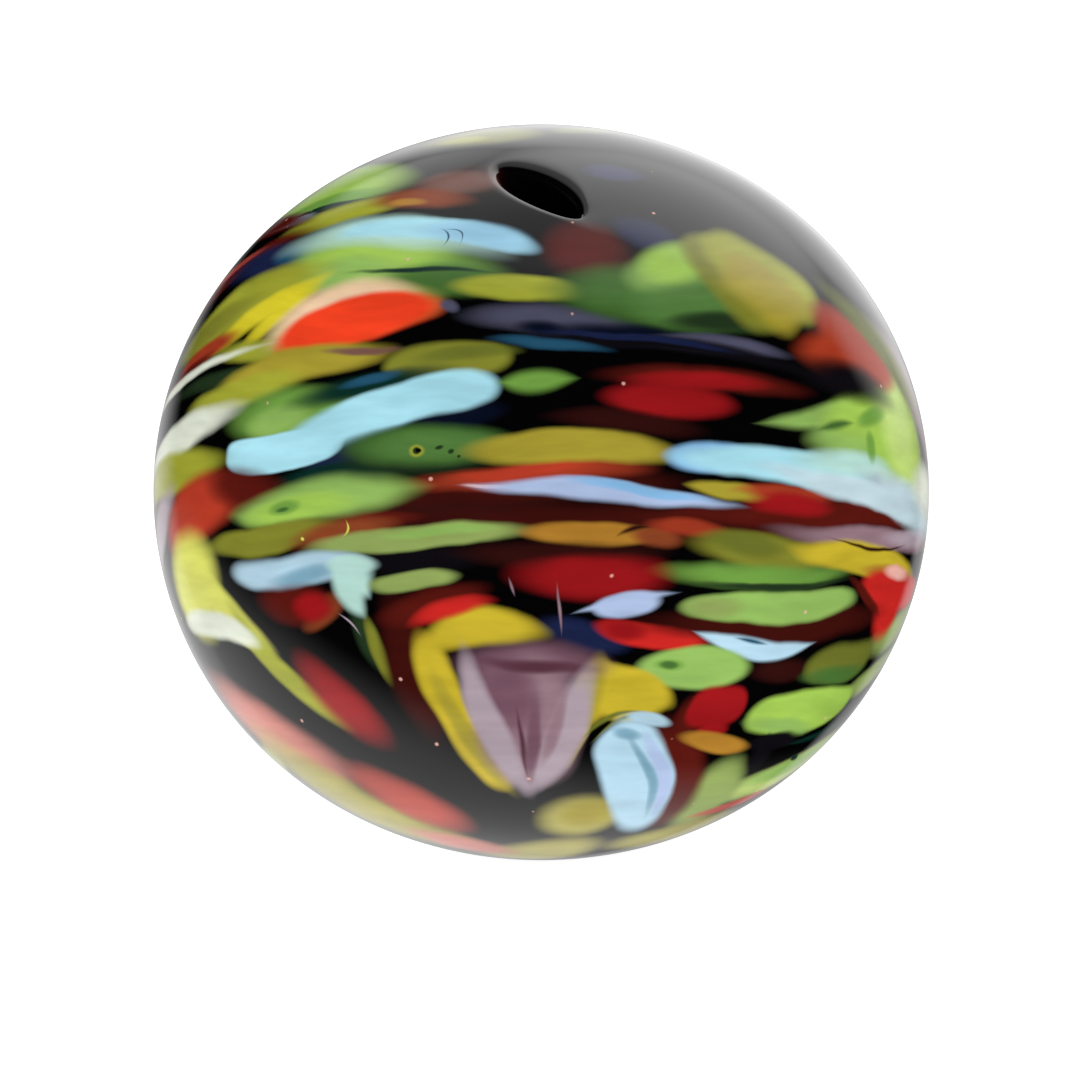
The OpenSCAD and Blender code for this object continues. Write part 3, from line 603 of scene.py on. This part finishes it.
def melted_chip_group():
    """How far one chip covers the glass below it: fully inside, fading out over its edge."""
    tree = bpy.data.node_groups.new("melted_chip", "ShaderNodeTree")
    sockets = (
        ("Place", "NodeSocketVector"), ("Middle", "NodeSocketVector"), ("Lay", "NodeSocketVector"),
        ("Half Size", "NodeSocketVector"), ("Bend", "NodeSocketFloat"), ("Blunt", "NodeSocketFloat"),
        ("Round", "NodeSocketFloat"), ("Core", "NodeSocketFloat"), ("Rim", "NodeSocketFloat"),
    )
    for name, kind in sockets:
        tree.interface.new_socket(name=name, in_out="INPUT", socket_type=kind)
    tree.interface.new_socket(name="Cover", in_out="OUTPUT", socket_type="NodeSocketFloat")
    given = tree.nodes.new("NodeGroupInput").outputs
    result = tree.nodes.new("NodeGroupOutput").inputs
    lay = tree.nodes.new("ShaderNodeMapping")
    lay.vector_type = "TEXTURE"
    link(tree, given["Place"], lay.inputs["Vector"])
    link(tree, given["Middle"], lay.inputs["Location"])
    link(tree, given["Lay"], lay.inputs["Rotation"])
    link(tree, given["Half Size"], lay.inputs["Scale"])
    parts = tree.nodes.new("ShaderNodeSeparateXYZ")
    link(tree, lay.outputs[0], parts.inputs[0])
    along, across = parts.outputs[:2]
    along_squared = math_node(tree, "MULTIPLY", along, along)
    straight = math_node(tree, "SUBTRACT", across, given["Bend"])
    bent = math_node(tree, "MULTIPLY_ADD", along_squared, given["Bend"], straight)
    side = math_node(tree, "POWER", math_node(tree, "ABSOLUTE", bent), given["Round"])
    end = math_node(tree, "POWER", along_squared, given["Blunt"])
    edge = math_node(tree, "ADD", side, end)
    fade = tree.nodes.new("ShaderNodeMapRange")
    fade.interpolation_type = "SMOOTHSTEP"
    link(tree, edge, fade.inputs["Value"])
    link(tree, given["Core"], fade.inputs["From Min"])
    link(tree, given["Rim"], fade.inputs["From Max"])
    fade.inputs["To Min"].default_value = 1
    fade.inputs["To Max"].default_value = 0
    link(tree, fade.outputs["Result"], result["Cover"])
    return tree


def lay_chips(tree, chip_group, below, place, chips):
    """Lays the chips on the glass below, one after another, and gives the colour on top."""
    ball = HALF_WIDE / MM
    for glass, one_end, other_end, width, bend, (blunt, roundness), softness in chips:
        first, last = toward(one_end), toward(other_end)
        out = (first + last).normalized()
        along = (last - first).normalized()
        across = out.cross(along)
        chip = tree.nodes.new("ShaderNodeGroup")
        chip.node_tree = chip_group
        link(tree, place, chip.inputs["Place"])
        chip.inputs["Middle"].default_value = out
        chip.inputs["Lay"].default_value = Matrix((along, across, out)).transposed().to_euler()
        chip.inputs["Half Size"].default_value = ((last - first).length / 2, width / 2 / ball, 1)
        chip.inputs["Bend"].default_value = bend / (width / 2)
        chip.inputs["Blunt"].default_value = blunt
        chip.inputs["Round"].default_value = roundness
        chip.inputs["Core"].default_value = 1 - softness
        chip.inputs["Rim"].default_value = 1 + softness
        over = tree.nodes.new("ShaderNodeMix")
        over.data_type = "RGBA"
        link(tree, chip.outputs["Cover"], over.inputs[0])
        link(tree, below, over.inputs[6])
        over.inputs[7].default_value = glass_colour(glass)
        below = over.outputs[2]
    return below


def reaches(patch, chip):
    """Whether a chip comes near enough to a patch of the ball to colour some of it."""
    one_end, other_end, width, bend = chip[1:5]
    reach = (width / 2 + abs(bend)) * MM / HALF_WIDE + PATCH_MARGIN
    for step in range(REACH_STEPS + 1):
        spot = toward(one_end).slerp(toward(other_end), step / REACH_STEPS)
        others = (other for other in PATCHES if other != patch)
        if all(spot.dot((patch - other).normalized()) > -reach for other in others):
            return True
    return False


def wavered_place(tree):
    """The way from the bead's middle in its face's own degrees, pushed about as the flame does."""
    where = tree.nodes.new("ShaderNodeTexCoord").outputs["Object"]
    centred = tree.nodes.new("ShaderNodeVectorMath")
    centred.operation = "SUBTRACT"
    link(tree, where, centred.inputs[0])
    centred.inputs[1].default_value = MIDDLE
    tilted = tree.nodes.new("ShaderNodeMapping")
    link(tree, centred.outputs[0], tilted.inputs["Vector"])
    tilted.inputs["Rotation"].default_value = (FACE_TILT, 0, 0)
    face = tree.nodes.new("ShaderNodeVectorMath")
    face.operation = "NORMALIZE"
    link(tree, tilted.outputs[0], face.inputs[0])
    place = face.outputs[0]
    for scale, push in WAVERS:
        waver = tree.nodes.new("ShaderNodeTexNoise")
        waver.inputs["Scale"].default_value = scale
        waver.inputs["Detail"].default_value = 1
        link(tree, face.outputs[0], waver.inputs["Vector"])
        centre = tree.nodes.new("ShaderNodeVectorMath")
        centre.operation = "SUBTRACT"
        link(tree, waver.outputs["Color"], centre.inputs[0])
        centre.inputs[1].default_value = (0.5, 0.5, 0.5)
        pushed = tree.nodes.new("ShaderNodeVectorMath")
        pushed.operation = "MULTIPLY_ADD"
        link(tree, centre.outputs[0], pushed.inputs[0])
        pushed.inputs[1].default_value = (push, push, push)
        link(tree, place, pushed.inputs[2])
        place = pushed.outputs[0]
    return place


def streaky_glass_group():
    """Glass that wasn't stirred all through: its colour comes and goes along the streaks, and
    tiny pale specks of dust from the kiln sit in it."""
    tree = bpy.data.node_groups.new("streaky_glass", "ShaderNodeTree")
    tree.interface.new_socket(name="Colour", in_out="INPUT", socket_type="NodeSocketColor")
    tree.interface.new_socket(name="Place", in_out="INPUT", socket_type="NodeSocketVector")
    tree.interface.new_socket(name="Colour", in_out="OUTPUT", socket_type="NodeSocketColor")
    given = tree.nodes.new("NodeGroupInput").outputs
    result = tree.nodes.new("NodeGroupOutput").inputs
    shade = None
    for stretch, low, high in STREAKS:
        streak = tree.nodes.new("ShaderNodeTexNoise")
        streak.inputs["Scale"].default_value = 1
        streak.inputs["Detail"].default_value = 2
        spread = tree.nodes.new("ShaderNodeVectorMath")
        spread.operation = "MULTIPLY"
        link(tree, given["Place"], spread.inputs[0])
        spread.inputs[1].default_value = stretch
        link(tree, spread.outputs[0], streak.inputs["Vector"])
        depth = tree.nodes.new("ShaderNodeMapRange")
        link(tree, streak.outputs["Fac"], depth.inputs["Value"])
        depth.inputs["From Min"].default_value, depth.inputs["From Max"].default_value = 0.3, 0.7
        depth.inputs["To Min"].default_value, depth.inputs["To Max"].default_value = low, high
        level = depth.outputs["Result"]
        shade = level if shade is None else math_node(tree, "MULTIPLY", shade, level)
    streaked = tree.nodes.new("ShaderNodeVectorMath")
    streaked.operation = "SCALE"
    link(tree, given["Colour"], streaked.inputs[0])
    link(tree, shade, streaked.inputs["Scale"])
    dust = tree.nodes.new("ShaderNodeTexVoronoi")
    dust.inputs["Scale"].default_value = DUST_SCALE
    link(tree, given["Place"], dust.inputs["Vector"])
    grain = tree.nodes.new("ShaderNodeMapRange")
    link(tree, dust.outputs["Distance"], grain.inputs["Value"])
    grain.inputs["From Min"].default_value, grain.inputs["From Max"].default_value = DUST_EDGE
    grain.inputs["To Min"].default_value = DUST_COVER
    grain.inputs["To Max"].default_value = 0
    chosen = tree.nodes.new("ShaderNodeSeparateXYZ")
    link(tree, dust.outputs["Color"], chosen.inputs[0])
    kept = math_node(tree, "GREATER_THAN", chosen.outputs[0], DUST_LEFT_OUT)
    specked = tree.nodes.new("ShaderNodeMix")
    specked.data_type = "RGBA"
    link(tree, math_node(tree, "MULTIPLY", grain.outputs["Result"], kept), specked.inputs[0])
    link(tree, streaked.outputs[0], specked.inputs[6])
    specked.inputs[7].default_value = glass_colour("rose")
    link(tree, specked.outputs[2], result["Colour"])
    return tree


def patch_glass(number, patch, chip_group, streaky_group):
    """Glossy glass for one patch of the ball, with the chips that reach it over black."""
    material = bpy.data.materials.new(f"bead_glass_{number}")
    material.use_nodes = True
    tree = material.node_tree
    shader = tree.nodes["Principled BSDF"]
    shader.inputs["Roughness"].default_value = 0.04
    shader.inputs["IOR"].default_value = 1.5
    ground = tree.nodes.new("ShaderNodeRGB")
    ground.outputs[0].default_value = glass_colour("black")
    chips = [chip for chip in CHIPS if reaches(patch, chip)]
    place = wavered_place(tree)
    streaky = tree.nodes.new("ShaderNodeGroup")
    streaky.node_tree = streaky_group
    laid = lay_chips(tree, chip_group, ground.outputs[0], place, chips)
    link(tree, laid, streaky.inputs["Colour"])
    link(tree, place, streaky.inputs["Place"])
    link(tree, streaky.outputs["Colour"], shader.inputs["Base Color"])
    return material


def glaze(mesh):
    """Gives each face of the ball the glass of the patch that it lies in."""
    chip_group = melted_chip_group()
    streaky_group = streaky_glass_group()
    for number, patch in enumerate(PATCHES):
        mesh.materials.append(patch_glass(number, patch, chip_group, streaky_group))
    level = Matrix.Rotation(FACE_TILT, 3, "X")
    marks = []
    for face in mesh.polygons:
        way = (level @ (face.center - MIDDLE)).normalized()
        marks.append(max(range(len(PATCHES)), key=lambda number: way.dot(PATCHES[number])))
    mesh.polygons.foreach_set("material_index", marks)


glaze(bead.data)

# The table and the light
# A plain pale table under an even white surround, with large soft panels that only show
# as grey veils in the gloss of the glass.
FLOOR_HALF = 0.6
# Each panel: degrees round from straight behind toward the right, degrees up, strength, and the
# cosines between which its edge fades
PANELS = (
    (20, 22, 1.7, 0.83, 0.97),
    (6, 42, 0.6, 0.79, 0.94),
    (12, -8, 1.35, 0.883, 0.97),
    (14, -38, 0.5, 0.927, 0.978),
    (-31, -47, 0.85, 0.866, 0.98),
    (-85, -68, 0.75, 0.6, 0.92),
    (36, -4, 0.9, 0.927, 0.994),
    (-11, 8, 0.9, 0.97, 0.9986),
)


def pale_table():
    mesh = bpy.data.meshes.new("table")
    corners = [(side * FLOOR_HALF, end * FLOOR_HALF, 0) for side, end in ((-1, -1), (1, -1), (1, 1), (-1, 1))]
    mesh.from_pydata(corners, [], [(0, 1, 2, 3)])
    table = bpy.data.objects.new("table", mesh)
    bpy.context.collection.objects.link(table)
    material = bpy.data.materials.new("table")
    material.use_nodes = True
    tree = material.node_tree
    shader = tree.nodes["Principled BSDF"]
    shader.inputs["Base Color"].default_value = (0.45, 0.45, 0.45, 1)
    shader.inputs["Roughness"].default_value = 1
    shader.inputs["Specular IOR Level"].default_value = 0
    shader.inputs["Emission Color"].default_value = (1, 1, 1, 1)
    shader.inputs["Emission Strength"].default_value = 0.92
    mesh.materials.append(material)
    table.visible_glossy = False


def white_surround():
    world = bpy.data.worlds.new("surround")
    bpy.context.scene.world = world
    world.use_nodes = True
    tree = world.node_tree
    back = tree.nodes["Background"]
    back.inputs["Color"].default_value = (1, 1, 1, 1)
    way = tree.nodes.new("ShaderNodeTexCoord").outputs["Generated"]
    gloss = None
    for around, up, strength, outer, inner in PANELS:
        turn, lift = radians(around), radians(up)
        facing = Vector((sin(turn) * cos(lift), cos(turn) * cos(lift), sin(lift)))
        dot = tree.nodes.new("ShaderNodeVectorMath")
        dot.operation = "DOT_PRODUCT"
        link(tree, way, dot.inputs[0])
        dot.inputs[1].default_value = facing
        panel = tree.nodes.new("ShaderNodeMapRange")
        panel.interpolation_type = "SMOOTHSTEP"
        link(tree, dot.outputs["Value"], panel.inputs["Value"])
        panel.inputs["From Min"].default_value, panel.inputs["From Max"].default_value = outer, inner
        panel.inputs["To Max"].default_value = strength
        lit = panel.outputs["Result"]
        gloss = lit if gloss is None else math_node(tree, "MAXIMUM", gloss, lit)
    path = tree.nodes.new("ShaderNodeLightPath")
    pick = tree.nodes.new("ShaderNodeMix")
    link(tree, path.outputs["Is Glossy Ray"], pick.inputs["Factor"])
    pick.inputs["A"].default_value = 1
    link(tree, gloss, pick.inputs["B"])
    link(tree, pick.outputs["Result"], back.inputs["Strength"])


pale_table()
white_surround()
bpy.context.scene.view_settings.view_transform = "Standard"

# The camera
# A long lens looks down on the bead from as high as the photograph does, with the bead's
# middle where the photograph has it in its frame.
PHOTO_WIDE = 1080
PHOTO_HIGH = 1069
BEAD_X = 541.25
BEAD_Y = 490.6
BEAD_HALF_WIDE = 387.4
LENS_LONG = 250
SENSOR = 36

camera_data = bpy.data.cameras.new("camera")
camera_data.lens = LENS_LONG
camera_data.sensor_width = SENSOR
camera = bpy.data.objects.new("camera", camera_data)
bpy.context.collection.objects.link(camera)
bpy.context.scene.camera = camera
look_back = Vector((0, -cos(FACE_TILT), sin(FACE_TILT)))
look_up = Vector((0, sin(FACE_TILT), cos(FACE_TILT)))
pixels_per_metre = BEAD_HALF_WIDE / HALF_WIDE
away = PHOTO_WIDE * LENS_LONG / SENSOR / pixels_per_metre
camera.location = MIDDLE + look_back * away
off_middle = Vector((PHOTO_WIDE / 2 - BEAD_X, 0, 0)) - look_up * (PHOTO_HIGH / 2 - BEAD_Y)
aim = MIDDLE + off_middle / pixels_per_metre
camera.rotation_euler = (aim - camera.location).to_track_quat("-Z", "Y").to_euler()
